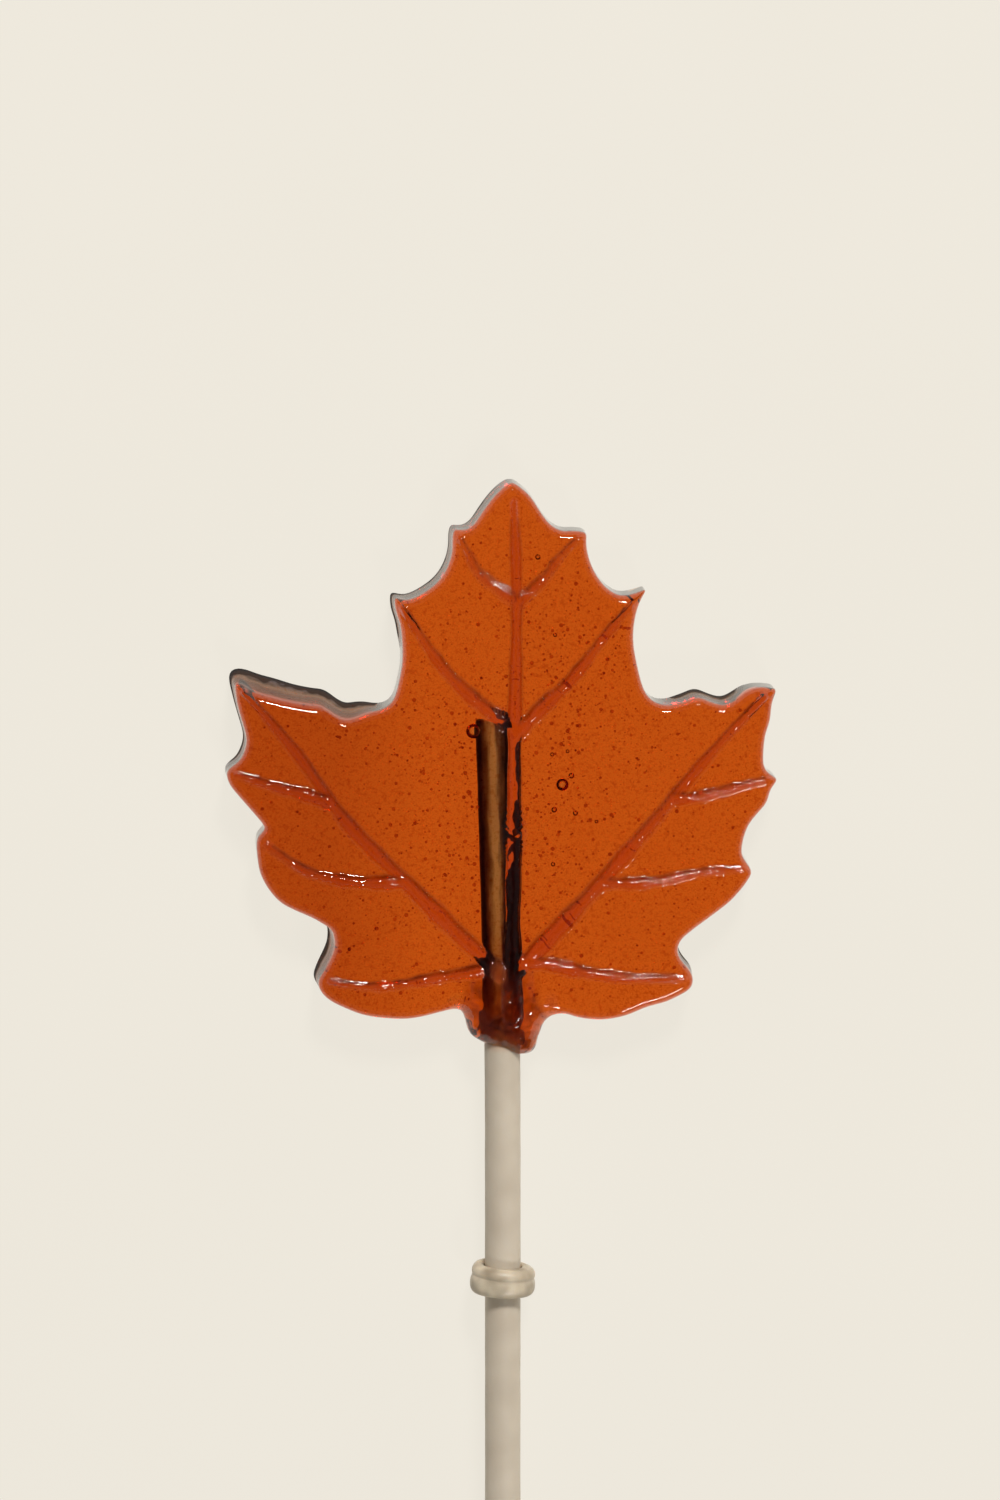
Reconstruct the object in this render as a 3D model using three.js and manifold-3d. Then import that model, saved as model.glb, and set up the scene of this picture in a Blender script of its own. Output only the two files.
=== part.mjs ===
// A maple leaf lollipop: a slab of clear amber boiled sugar cast in a leaf-shaped mould, on a straight
// plastic stick that carries a soft elastic ring. It lies on its flat back with the veined front up.
//
// Units are millimetres. The part's frame: +Y runs along the stick to the leaf's tip, +Z comes out of
// the veined front, z = 0 is the surface it lies on, and x = 0 is the middle of the leaf's width.

import * as THREE from 'three';
import { mergeVertices } from 'three/addons/utils/BufferGeometryUtils.js';
import Module from 'manifold-3d';

const wasm = await Module();
wasm.setup();

// ---------------------------------------------------------------- driving dimensions

const STICK_DIAMETER = 4.0;
const STICK_LENGTH = 101.6; // a 4 inch stick
const STICK_AXIS_Z = 3.7; // height of the stick's axis over the table
const STICK_SIDES = 24;
const STICK_CHAMFER = 0.25; // its cut ends are slightly rounded
const BORE_CHAMFER = 0.1; // at the closed end of the channel that it fills in the sweet
const STICK_LEAN = 0.029; // inside the sweet it leans this much to the left for each mm up
const LEAN_EASE = 3.0; // length over which the stick turns into its lean
const LEAN_STEPS = 10; // straight pieces that the leaning part is made of

const SLAB_THICKNESS = 6.3; // of the cast leaf between its veins
const VEIN_HEIGHT = 0.95; // of the thickest vein above the slab
const FIT_GAP = 0.3; // between pieces that touch

const RING_DIAMETER = 7.3;
const RING_LENGTH = 3.3; // along the stick
const RING_BELOW_FOOT = 36.2; // from the foot of the blade, where the veins meet
const RING_TILT = THREE.MathUtils.degToRad(5); // it sits a little askew, its right side lower
const RING_SIDES = 36;
// Section of the ring from its lower end round the outside to its upper end: how far inside the outer
// radius, and how far along the stick from the ring's middle. The lower lip is the thicker one, and a
// shallow groove runs round above the middle.
const RING_SECTION = [
  [0.75, -1.65], [0.2, -1.4], [0, -0.9], [0, -0.2], [0.12, 0.45], [0.06, 0.8], [0.1, 1.1],
  [0.45, 1.53], [0.95, 1.65],
];

const STICK_TOP_ABOVE_FOOT = 26.7; // how far the stick reaches into the sweet
const STALK_RADIUS = 3.5; // of the lump of sweet round the stick below the blade
const STALK_OVAL = 1.12; // it is wider than it is thick
const STALK_BELOW_FOOT = 10.0; // where the stick comes out of it
const STALK_END_SLOPE = 0.3; // its end face runs down to the right
const STALK_WEB = 0.22; // how much wider the stalk grows where it joins the blade
const STALK_WEB_FROM = 1.5; // the widening starts this far above the stalk's end
const STALK_END_ROUNDING = [[0.9, -0.1], [0.2, 0.35], [0, 1.1]]; // inside its radius, above its end
const STALK_ROOT = [[0, 0], [0.5, 3.5], [1.2, 7.0]]; // inside its radius, above the foot: it sinks in
const BLADE_BASE = -5.5; // the blade's lower edge beside the stalk, from the foot

// The leaf has its own coordinates: x across and y along the stick, measured from the foot of the
// blade, the point on the stick's axis where the main veins meet.

// Front edge of the blade, clockwise from the right of the leaf's tip. Each stretch is one smooth
// curve that starts where the last one ended and meets it in a corner, a tooth or a notch. flare is
// how far the back of the sweet stands out past the front edge along it.
const TIP = [0.9, 52.9];
const EDGE = [
  { flare: 0.15, through: [[1.8, 52.3], [3.0, 51.2], [4.1, 49.5], [5.2, 48.1], [6.5, 47.4]] },
  { flare: 0.15, through: [[7.7, 47.5], [9.2, 47.3]] }, // first tooth on the right
  { flare: 0.15, through: [[9.1, 45.9], [9.5, 44.1], [10.2, 42.6], [11.2, 41.3], [12.5, 40.4]] },
  { flare: 0.15, through: [[13.8, 40.4], [15.8, 41.1]] }, // right shoulder of the top lobe
  {
    // down its side and round the sinus
    flare: 0.05,
    through: [
      [14.9, 39.4], [14.4, 37.4], [14.3, 35.1], [14.8, 32.3], [15.5, 29.9], [16.6, 28.6],
      [18.2, 28.2],
    ],
  },
  {
    // top of the right lobe
    flare: 0.5,
    through: [[19.9, 28.6], [21.4, 29.1], [22.8, 28.6], [24.3, 28.2], [25.4, 28.7], [26.6, 29.7]],
  },
  { flare: 0.0, through: [[28.1, 30.2], [30.2, 30.0]] }, // its tip
  { flare: 0.15, through: [[29.6, 28.4], [29.4, 26.5], [28.9, 24.9], [28.7, 23.0], [28.7, 21.4]] },
  { flare: 0.15, through: [[29.3, 20.6], [30.4, 20.0]] }, // second tooth
  {
    flare: 0.15,
    through: [[29.5, 18.8], [29.1, 17.4], [28.1, 16.2], [27.1, 14.9], [26.5, 13.2], [26.3, 11.6]],
  },
  { flare: 0.2, through: [[26.9, 10.7], [27.6, 9.7]] }, // third tooth
  {
    flare: 0.15,
    through: [[27.1, 8.8], [26.3, 7.7], [25.0, 6.3], [23.2, 4.9], [21.3, 3.5], [19.8, 2.3]],
  },
  { flare: 0.4, through: [[19.4, 1.6], [19.3, 0.7], [19.8, -0.3], [20.7, -1.3], [21.1, -2.3]] },
  {
    // under the lower right lobe to the stalk
    flare: 0.1,
    through: [
      [20.8, -3.3], [19.7, -4.0], [18.0, -4.8], [15.8, -5.4], [13.6, -6.3], [11.1, -6.75],
      [8.6, -6.55], [6.6, -6.0], [5.3, -6.3], [4.4, -6.9],
    ],
  },
  { flare: 0.1, through: [[-4.4, -5.7]] }, // hidden in the stalk
  {
    // under the lower left lobe
    flare: 0.1,
    through: [
      [-5.8, -5.5], [-7.5, -5.9], [-9.7, -6.4], [-11.9, -6.5], [-15.2, -6.1], [-17.6, -5.2],
      [-19.3, -4.3], [-20.3, -3.2], [-20.5, -2.1],
    ],
  },
  { flare: 0.9, through: [[-19.8, -1.0], [-19.0, 0.5], [-18.6, 1.9], [-18.9, 3.5]] },
  {
    flare: 0.15,
    through: [
      [-19.8, 4.1], [-21.2, 4.9], [-23.0, 5.7], [-24.6, 6.6], [-25.9, 8.1], [-26.8, 9.9],
      [-27.1, 11.8], [-27.2, 13.1], [-27.0, 14.0],
    ],
  },
  { flare: 0.15, through: [[-26.1, 14.8]] },
  { flare: 0.15, through: [[-26.7, 15.6], [-27.8, 16.9], [-29.0, 18.3], [-30.1, 19.7], [-30.5, 21.1]] },
  {
    flare: 0.4,
    through: [
      [-29.7, 21.8], [-29.0, 22.3], [-28.4, 23.5], [-28.2, 24.8], [-28.7, 26.7], [-29.2, 28.6],
      [-29.5, 30.9],
    ],
  },
  {
    // top of the left lobe, where the back stands out most
    flare: 1.6,
    through: [[-28.8, 30.9], [-27.2, 29.9], [-25.5, 29.4], [-23.7, 28.9]],
  },
  {
    flare: 1.4,
    through: [
      [-21.4, 28.5], [-20.0, 28.3], [-18.5, 27.3], [-17.3, 26.8], [-16.0, 27.1], [-14.8, 27.6],
    ],
  },
  {
    flare: 0.1,
    through: [[-13.2, 28.0], [-12.1, 28.9], [-11.5, 30.8], [-11.1, 33.1], [-11.1, 35.2]],
  },
  { flare: 0.5, through: [[-11.3, 37.2], [-11.8, 38.7], [-12.0, 40.3]] },
  { flare: 0.3, through: [[-10.8, 39.9]] }, // left shoulder of the top lobe
  {
    flare: 0.35,
    through: [
      [-9.9, 40.1], [-8.6, 40.8], [-7.4, 41.7], [-6.5, 42.8], [-5.9, 44.1], [-5.6, 45.4],
      [-5.6, 46.8], [-5.4, 47.8],
    ],
  },
  { flare: 0.3, through: [[-4.8, 47.6], [-4.0, 47.6]] }, // first tooth on the left
  { flare: 0.35, through: [[-3.2, 48.2], [-2.4, 49.4], [-1.4, 50.8], [-0.3, 52.0], TIP] },
];
const EDGE_STEPS_PER_POINT = 2;
const CORNER_SOFTENING = 2; // passes of averaging that round the cast corners
const FLARE_SOFTENING = 6; // passes that let one stretch's flare run into the next
const INWARD_SMOOTHING = 30; // passes that even out the directions in which the edge is rounded
const HEART = [1.15, 14.0]; // under the midrib
const FIELD_INSET = 2.0; // the flat field starts this far inside the rounded rim
const FIELD_SOFTENING = 30; // passes that smooth its outline until all of it can be seen from the heart

// Section of the slab at its edge: how far in from the back's outline, and how high. Where it says
// flare, the edge's own flare is added, because the front is smaller than the back.
const SECTION = [
  { inset: 0.5, z: 0, flare: 0 },
  { inset: 0.0, z: 0.55, flare: 0 },
  { inset: 0.0, z: 4.9, flare: 1 },
  { inset: 0.3, z: 5.8, flare: 1 },
  { inset: 0.95, z: 6.3, flare: 1 },
];

// Centre lines of the raised veins, from the thick end outwards. size scales height and width.
const VEIN_HALF_WIDTH = 1.05;
const VEIN_TAPER = 0.45; // part of the size that is left at the thin end
const VEIN_SIDES = 8;
const VEIN_STEPS_PER_POINT = 1.5;
const VEIN_SINK = 0.1; // its centre line lies this far below the slab's face
const VEINS = [
  { size: 1.0, path: [[0.9, -6.0], [0.9, 3.0], [1.1, 14.0], [1.2, 26.0], [1.4, 40.0], [1.1, 50.6]] },
  {
    size: 0.9,
    path: [[-0.2, -1.4], [-4.7, 2.8], [-10.8, 8.9], [-17.3, 15.6], [-22.6, 23.1], [-28.4, 30.0]],
  },
  {
    size: 0.9,
    path: [[1.2, -1.4], [5.7, 3.3], [11.2, 9.3], [16.7, 15.7], [23.0, 23.2], [28.6, 29.2]],
  },
  { size: 0.8, path: [[1.0, 26.1], [-1.6, 27.7], [-5.0, 30.7], [-7.6, 33.8], [-11.2, 39.2]] },
  { size: 0.8, path: [[1.3, 25.2], [4.6, 28.5], [7.6, 31.4], [11.2, 36.1], [14.0, 39.4]] },
  { size: 0.7, path: [[0.0, -0.6], [-6.9, -1.7], [-13.6, -2.7], [-19.2, -2.1]] },
  { size: 0.8, path: [[0.6, 0.2], [5.2, -0.4], [9.6, -1.4], [15.1, -2.0], [19.9, -2.0]] },
  { size: 0.75, path: [[-19.3, 17.8], [-22.3, 18.8], [-25.0, 19.5], [-29.2, 20.9]] },
  { size: 0.75, path: [[-10.8, 8.9], [-15.7, 8.9], [-19.6, 9.5], [-22.3, 10.5], [-26.0, 13.1]] },
  { size: 0.65, path: [[18.6, 18.0], [21.1, 18.1], [23.9, 18.8], [29.2, 20.1]] },
  { size: 0.65, path: [[10.7, 8.7], [14.0, 8.6], [17.3, 8.9], [21.7, 9.8], [26.5, 10.2]] },
  { size: 0.6, path: [[1.4, 39.8], [-2.5, 42.7], [-4.0, 45.2], [-4.9, 46.9]] },
  { size: 0.6, path: [[1.4, 39.6], [4.5, 42.4], [5.9, 44.4], [8.2, 46.7]] },
];

// ---------------------------------------------------------------- colours and finishes

const amberSugar = new THREE.MeshStandardMaterial({ color: 0xbb4e12, roughness: 0.12, metalness: 0 });
const frostedPlastic = new THREE.MeshStandardMaterial({ color: 0xc2b4a0, roughness: 0.5, metalness: 0 });
const softElastic = new THREE.MeshStandardMaterial({ color: 0xb8a68a, roughness: 0.4, metalness: 0 });

// ---------------------------------------------------------------- solids from geometry

// Joins and cuts work on closed meshes whose shared corners are merged by position alone.
function solid(geometry) {
  const bare = geometry.clone();
  bare.deleteAttribute('normal');
  bare.deleteAttribute('uv');
  const merged = mergeVertices(bare, 1e-4);
  return new wasm.Manifold(
    new wasm.Mesh({
      numProp: 3,
      vertProperties: new Float32Array(merged.attributes.position.array),
      triVerts: new Uint32Array(merged.index.array),
    })
  );
}

function geometryOf(joined) {
  const mesh = joined.getMesh();
  const geometry = new THREE.BufferGeometry();
  geometry.setAttribute('position', new THREE.BufferAttribute(mesh.vertProperties, 3));
  geometry.setIndex(new THREE.BufferAttribute(mesh.triVerts, 1));
  geometry.computeVertexNormals();
  return geometry;
}

// Moves every corner of a geometry to where the given function puts it.
function reshape(geometry, place) {
  const position = geometry.attributes.position;
  const corner = new THREE.Vector3();
  for (let i = 0; i < position.count; i++) {
    corner.fromBufferAttribute(position, i);
    place(corner);
    position.setXYZ(i, corner.x, corner.y, corner.z);
  }
  return geometry;
}

// ---------------------------------------------------------------- outline of the blade

const ring = (list, i) => list[(i + list.length) % list.length];

// Each pass moves a point of a closed line half way to the middle of its neighbours.
function soften(points, passes) {
  let line = points;
  for (let pass = 0; pass < passes; pass++) {
    line = line.map((p, i) => ring(line, i - 1).clone().add(ring(line, i + 1)).multiplyScalar(0.25)
      .addScaledVector(p, 0.5));
  }
  return line;
}

// The front edge as an even closed line of points, with its flare at each of them.
function frontEdge() {
  const points = [];
  const flares = [];
  let start = new THREE.Vector2(...TIP);
  for (const { flare, through } of EDGE) {
    const stops = [start, ...through.map(([x, y]) => new THREE.Vector2(x, y))];
    const curve = new THREE.SplineCurve(stops);
    const steps = through.length * EDGE_STEPS_PER_POINT;
    for (let i = 0; i < steps; i++) {
      points.push(curve.getPoint(i / steps));
      flares.push(new THREE.Vector2(flare, 0));
    }
    start = stops[stops.length - 1];
  }
  return { points: soften(points, CORNER_SOFTENING), flares: soften(flares, FLARE_SOFTENING) };
}

// The direction into the blade at each point of a clockwise line, evened out along it so that the
// rounding of the edge doesn't fold over itself at teeth and notches.
function inwardDirections(points) {
  const directions = points.map((p, i) => {
    const along = ring(points, i + 1).clone().sub(ring(points, i - 1)).normalize();
    return new THREE.Vector2(along.y, -along.x);
  });
  return soften(directions, INWARD_SMOOTHING).map((v) => v.normalize());
}

const edge = frontEdge();
const inward = inwardDirections(edge.points);
const backEdge = edge.points.map((p, i) => p.clone().addScaledVector(inward[i], -edge.flares[i].x));

// The back's outline is the widest one, and its middle is x = 0 of the part. The leaf's tip and the
// end of the stick are the same distance from the part's origin. The foot of the blade is at
// (axisX, footY), and the stick outside the sweet runs along x = axisX.
const blade = new THREE.Box2().setFromPoints(backEdge);
const axisX = -(blade.min.x + blade.max.x) / 2;
const stickTopToTip = blade.max.y - STICK_TOP_ABOVE_FOOT;
const halfLength = (STICK_LENGTH + stickTopToTip) / 2;
const footY = halfLength - blade.max.y;
const stickEndY = -halfLength;
const stickTopY = stickEndY + STICK_LENGTH;
const stalkEndY = footY - STALK_BELOW_FOOT;

// The stick's axis: straight outside the sweet, then leaning to the left inside it.
function stickAxisX(y) {
  const inside = y - stalkEndY;
  return axisX - STICK_LEAN * LEAN_EASE * Math.log1p(Math.exp(inside / LEAN_EASE));
}

// ---------------------------------------------------------------- the cast slab

// Closed lines of points on the slab's surface, from the back to the front: one for each step of the
// section, and the smooth outline of the flat field inside the rounded rim.
const slabLines = SECTION.map((step) => ({
  z: step.z,
  line: backEdge.map((p, i) =>
    p.clone().addScaledVector(inward[i], step.inset + step.flare * edge.flares[i].x)
  ),
}));
const rim = slabLines[slabLines.length - 1].line;
slabLines.push({
  z: SLAB_THICKNESS,
  line: soften(rim.map((p, i) => p.clone().addScaledVector(inward[i], FIELD_INSET)), FIELD_SOFTENING),
});

// A profile is turned about an upright axis through the heart, and each corner of the turned shape is
// then moved to its line's point. A profile point's radius only says which line it belongs to.
function slabGeometry() {
  const heart = new THREE.Vector2(...HEART);
  const profile = [new THREE.Vector2(0, 0)];
  slabLines.forEach(({ z }, i) => profile.push(new THREE.Vector2(i + 1, z)));
  profile.push(new THREE.Vector2(0, SLAB_THICKNESS));
  const count = backEdge.length;
  return reshape(new THREE.LatheGeometry(profile, count), (corner) => {
    const which = Math.round(Math.hypot(corner.x, corner.z));
    const turn = Math.atan2(corner.x, corner.z) / (2 * Math.PI);
    const at = which === 0 ? heart : ring(slabLines[which - 1].line, Math.round(-turn * count));
    corner.set(at.x + axisX, at.y + footY, corner.y);
  });
}

// ---------------------------------------------------------------- veins and stalk

// A vein is a rod of oval section along its centre line, half sunk in the slab and thinner towards
// its end. A cylinder's height gives the way along it and its angle the way round it.
function veinGeometry({ size, path }) {
  const line = new THREE.CatmullRomCurve3(
    path.map(([x, y]) => new THREE.Vector3(x + axisX, y + footY, SLAB_THICKNESS - VEIN_SINK))
  );
  const steps = Math.round(path.length * VEIN_STEPS_PER_POINT);
  const rod = new THREE.CylinderGeometry(1, 1, 1, VEIN_SIDES, steps);
  const side = new THREE.Vector3();
  return reshape(rod, (corner) => {
    const along = 0.5 - corner.y;
    const at = line.getPoint(along);
    side.copy(line.getTangent(along)).cross(new THREE.Vector3(0, 0, 1)).normalize();
    const scale = size * THREE.MathUtils.lerp(1, VEIN_TAPER, along);
    const out = corner.x * VEIN_HALF_WIDTH * scale;
    const up = -corner.z * (VEIN_HEIGHT + VEIN_SINK) * scale;
    corner.set(at.x + side.x * out, at.y + side.y * out, at.z + up);
  });
}

// The stalk is turned about the stick's axis. It widens where it meets the blade, and its end face
// slopes down to the right.
function stalkGeometry() {
  const { smoothstep, clamp } = THREE.MathUtils;
  const end = -STALK_BELOW_FOOT;
  const root = STALK_ROOT[STALK_ROOT.length - 1][1];
  const profile = [
    [0, end],
    ...STALK_END_ROUNDING.map(([inside, above]) => [STALK_RADIUS - inside, end + above]),
    [STALK_RADIUS, BLADE_BASE],
    ...STALK_ROOT.map(([inside, above]) => [STALK_RADIUS - inside, above]),
    [0, root],
  ].map(([r, y]) => new THREE.Vector2(r, y));
  return reshape(new THREE.LatheGeometry(profile, RING_SIDES), (corner) => {
    const { x, y, z } = corner;
    const nearEnd = clamp((BLADE_BASE - y) / (BLADE_BASE - end), 0, 1);
    const nearBlade = smoothstep(y, end + STALK_WEB_FROM, BLADE_BASE) * (1 - smoothstep(y, BLADE_BASE, 0));
    const placeX = x * STALK_OVAL * (1 + STALK_WEB * nearBlade);
    const placeY = y - STALK_END_SLOPE * x * nearEnd + footY;
    corner.set(placeX + stickAxisX(placeY), placeY, STICK_AXIS_Z + z);
  });
}

// ---------------------------------------------------------------- stick

// A rod along the stick's axis. The channel that the stick lies in is cut with a fatter, longer one.
function rodGeometry(radius, chamfer, startY, endY) {
  const profile = [
    new THREE.Vector2(0, startY),
    new THREE.Vector2(radius - chamfer, startY),
    new THREE.Vector2(radius, startY + chamfer),
  ];
  for (let i = 0; i <= LEAN_STEPS; i++) {
    const y = THREE.MathUtils.lerp(stalkEndY - 2 * LEAN_EASE, endY - 2 * chamfer, i / LEAN_STEPS);
    profile.push(new THREE.Vector2(radius, y));
  }
  profile.push(new THREE.Vector2(radius, endY - chamfer));
  profile.push(new THREE.Vector2(radius - chamfer, endY));
  profile.push(new THREE.Vector2(0, endY));
  return reshape(new THREE.LatheGeometry(profile, STICK_SIDES), (corner) => {
    corner.set(corner.x + stickAxisX(corner.y), corner.y, STICK_AXIS_Z + corner.z);
  });
}

const stickRadius = STICK_DIAMETER / 2;
const boreRadius = (stickRadius + FIT_GAP) / Math.cos(Math.PI / STICK_SIDES);

// ---------------------------------------------------------------- ring on the stick

// The ring is turned about its own axis, tilted, and then cut clear of the stick.
function ringGeometry() {
  const outer = RING_DIAMETER / 2;
  const inner = stickRadius / 2; // the cut for the stick takes the rest away
  const half = RING_LENGTH / 2;
  const profile = [
    [inner, -half],
    ...RING_SECTION.map(([inside, along]) => [outer - inside, along]),
    [inner, half], [inner, -half],
  ].map(([r, y]) => new THREE.Vector2(r, y));
  const turned = new THREE.LatheGeometry(profile, RING_SIDES);
  turned.rotateZ(-RING_TILT);
  turned.translate(axisX, footY - RING_BELOW_FOOT, STICK_AXIS_Z);
  return turned;
}

// ---------------------------------------------------------------- the pieces

const boreStartY = stalkEndY - 4 * LEAN_EASE; // well outside the sweet
const bore = solid(rodGeometry(boreRadius, BORE_CHAMFER, boreStartY, stickTopY + FIT_GAP));

const ribs = VEINS.map((vein) => solid(veinGeometry(vein))).reduce((all, one) => all.add(one));
const candy = solid(slabGeometry()).add(ribs).add(solid(stalkGeometry())).subtract(bore);

const passage = new THREE.CylinderGeometry(boreRadius, boreRadius, RING_LENGTH * 3, STICK_SIDES);
passage.translate(axisX, footY - RING_BELOW_FOOT, STICK_AXIS_Z);
const band = solid(ringGeometry()).subtract(solid(passage));

const lollipop = new THREE.Group();

function addPiece(name, geometry, material) {
  const mesh = new THREE.Mesh(geometry, material);
  mesh.name = name;
  lollipop.add(mesh);
}

addPiece('candy_leaf', geometryOf(candy), amberSugar);
addPiece('stick', rodGeometry(stickRadius, STICK_CHAMFER, stickEndY, stickTopY), frostedPlastic);
addPiece('ring', geometryOf(band), softElastic);

export default lollipop;
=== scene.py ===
# %% [markdown]
# # A maple leaf lollipop
# The sweet is a slab of clear amber boiled sugar, cast in a leaf-shaped mould round the end of a
# straight plastic stick. A soft elastic ring sits on the stick. The solids of these three pieces come
# from the imported model. Here each of them gets its fine surface and its finish: bubbles and soft
# ridges in the sugar, the painted shade on the stick inside it, and the milky look of the two plastics.

# %% Load the model
import math

import bpy
import numpy as np
from mathutils import Matrix, Vector


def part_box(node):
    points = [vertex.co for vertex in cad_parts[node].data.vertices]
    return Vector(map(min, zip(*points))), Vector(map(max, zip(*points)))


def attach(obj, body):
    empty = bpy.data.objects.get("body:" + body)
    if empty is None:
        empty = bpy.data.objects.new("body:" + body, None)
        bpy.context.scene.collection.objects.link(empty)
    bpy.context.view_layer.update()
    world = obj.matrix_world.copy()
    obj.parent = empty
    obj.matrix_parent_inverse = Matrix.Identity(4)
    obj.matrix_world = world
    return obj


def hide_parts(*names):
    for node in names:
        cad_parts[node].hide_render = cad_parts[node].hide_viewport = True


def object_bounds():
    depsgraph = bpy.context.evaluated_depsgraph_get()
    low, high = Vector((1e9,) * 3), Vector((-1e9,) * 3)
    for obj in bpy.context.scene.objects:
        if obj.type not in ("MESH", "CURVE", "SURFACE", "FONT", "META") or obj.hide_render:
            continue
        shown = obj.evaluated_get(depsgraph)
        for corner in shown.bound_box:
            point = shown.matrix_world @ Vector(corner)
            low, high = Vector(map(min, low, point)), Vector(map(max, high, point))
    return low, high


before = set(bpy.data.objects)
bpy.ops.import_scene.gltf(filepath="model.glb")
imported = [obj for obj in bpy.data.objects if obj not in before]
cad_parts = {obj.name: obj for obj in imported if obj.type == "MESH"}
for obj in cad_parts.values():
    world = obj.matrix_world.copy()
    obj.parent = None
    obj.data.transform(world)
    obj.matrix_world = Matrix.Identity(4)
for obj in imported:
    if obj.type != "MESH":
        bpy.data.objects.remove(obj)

MM = 0.001
cad_box = [list(corner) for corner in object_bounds()]
cad_low = np.array(cad_box[0]) / MM
cad_high = np.array(cad_box[1]) / MM
rng = np.random.default_rng(41)
print("nodes:", sorted(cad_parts), "box in mm:", cad_low.round(2), cad_high.round(2))

# %% [markdown]
# ## Where things are
# The lollipop and the camera are in millimetres. The table, the lamps and a few lengths in the
# materials are in metres, like the scene. The leaf has its own coordinates: x across and y along the
# stick, counted from the foot of the blade, where the main veins meet on the stick's axis. The two
# numbers that carry them over to the model's frame are named here.

# %% Places and sizes
STICK_RADIUS = 2.0
STICK_AXIS_Z = 3.7
STICK_END_Y = -74.9
STICK_TOP_Y = 26.7
STICK_LEAN = 0.029
LEAN_EASE = 3.0
MOUTH_Y = -10.0
HEART = np.array([1.15, 14.0])
stick_high = np.array(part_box("stick")[1]) / MM
AXIS_X = stick_high[0] - STICK_RADIUS
FOOT_Y = stick_high[1] - STICK_TOP_Y
print("foot of the blade at x, y:", round(AXIS_X, 3), round(FOOT_Y, 3))


def stick_axis_x(y):
    """x of the stick's axis: 0 outside the sweet, then a soft turn into a straight lean to the left."""
    return -STICK_LEAN * LEAN_EASE * np.log1p(np.exp((y - MOUTH_Y) / LEAN_EASE))


def in_model(points):
    """Leaf coordinates to the model's frame: a shift by the foot of the blade."""
    return np.asarray(points, float) + [AXIS_X, FOOT_Y, 0.0]


def smoothstep(x, low, high):
    """0 below low, 1 above high, and an S-curve 3t^2 - 2t^3 between."""
    t = np.clip((x - low) / (high - low), 0, 1)
    return t * t * (3 - 2 * t)


# %% [markdown]
# ## From a grid of points to a mesh
# Every new surface here is a stack of closed rings, like the hoops of a barrel. Two poles close it,
# one over the first ring and one under the last. Building the faces from index arrays keeps it fast,
# and the sign of the enclosed volume says whether the faces point outwards.

# %% Skin over a stack of rings
def ring_faces(count, around, first=0):
    """Quads between neighbouring rings and triangles to the two poles. Ring i starts at index
    first + i * around, and the poles are the two points after the last ring."""
    i, j = np.meshgrid(np.arange(count - 1), np.arange(around), indexing="ij")
    at = first + i * around + j
    beside = first + i * around + (j + 1) % around
    quads = np.stack([at, beside, beside + around, at + around], axis=-1).reshape(-1, 4)
    k = np.arange(around)
    top, bottom = first + count * around, first + count * around + 1
    last = first + (count - 1) * around
    over = np.stack([np.full(around, top), first + (k + 1) % around, first + k], axis=-1)
    under = np.stack([np.full(around, bottom), last + k, last + (k + 1) % around], axis=-1)
    return quads, np.concatenate([over, under])


def enclosed_volume(points, quads, tris):
    """Sum of the signed tetrahedra between the origin and each triangle, in cubic millimetres."""
    halves = np.concatenate([quads[:, [0, 1, 2]], quads[:, [0, 2, 3]], tris])
    a, b, c = (points[halves[:, k]] for k in range(3))
    return float(np.einsum("ij,ij->i", a, np.cross(b, c)).sum() / 6)


def skin(rings, top, bottom, inside_out=False):
    """Points, quads and triangles of a closed surface over rings[i, j], facing outwards unless it is
    asked to be the wall of a hollow."""
    count, around = rings.shape[:2]
    points = np.concatenate([rings.reshape(-1, 3), [top], [bottom]])
    quads, tris = ring_faces(count, around)
    if (enclosed_volume(points, quads, tris) < 0) != inside_out:
        quads, tris = quads[:, ::-1], tris[:, ::-1]
    return points, quads, tris


def mesh_piece(name, parts, attributes=None):
    """One object from several closed surfaces in millimetres, smooth shaded, placed in its mesh."""
    points = np.concatenate([p for p, _, _ in parts])
    starts = np.cumsum([0] + [len(p) for p, _, _ in parts[:-1]])
    quads = np.concatenate([q + s for (_, q, _), s in zip(parts, starts)])
    tris = np.concatenate([t + s for (_, _, t), s in zip(parts, starts)])
    mesh = bpy.data.meshes.new(name)
    mesh.vertices.add(len(points))
    mesh.vertices.foreach_set("co", (points * MM).astype(np.float32).ravel())
    corners = np.concatenate([quads.ravel(), tris.ravel()])
    mesh.loops.add(len(corners))
    mesh.loops.foreach_set("vertex_index", corners.astype(np.int32))
    face_starts = np.concatenate([np.arange(len(quads)) * 4, quads.size + np.arange(len(tris)) * 3])
    mesh.polygons.add(len(face_starts))
    mesh.polygons.foreach_set("loop_start", face_starts.astype(np.int32))
    mesh.polygons.foreach_set("use_smooth", np.ones(len(face_starts), bool))
    for key, values in (attributes or {}).items():
        layer = mesh.attributes.new(key, "FLOAT", "POINT")
        layer.data.foreach_set("value", np.asarray(values, np.float32))
    mesh.update(calc_edges=True)
    mesh.validate()
    piece = bpy.data.objects.new(name, mesh)
    bpy.context.scene.collection.objects.link(piece)
    print(f"{name}: {len(points)} points, {2 * len(quads) + len(tris)} triangles")
    return piece


# %% [markdown]
# ## The outline of the leaf
# The mould's outline is a chain of smooth stretches between teeth, tips and notches. A Catmull-Rom
# curve goes through the few points that each stretch needs. flare says how far the back of the sweet
# stands out past its front there: the mould's walls slope, most of all on top of the left lobe. The
# lump of sugar round the stick is part of the same outline, so that the whole sweet is one skin.

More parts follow.
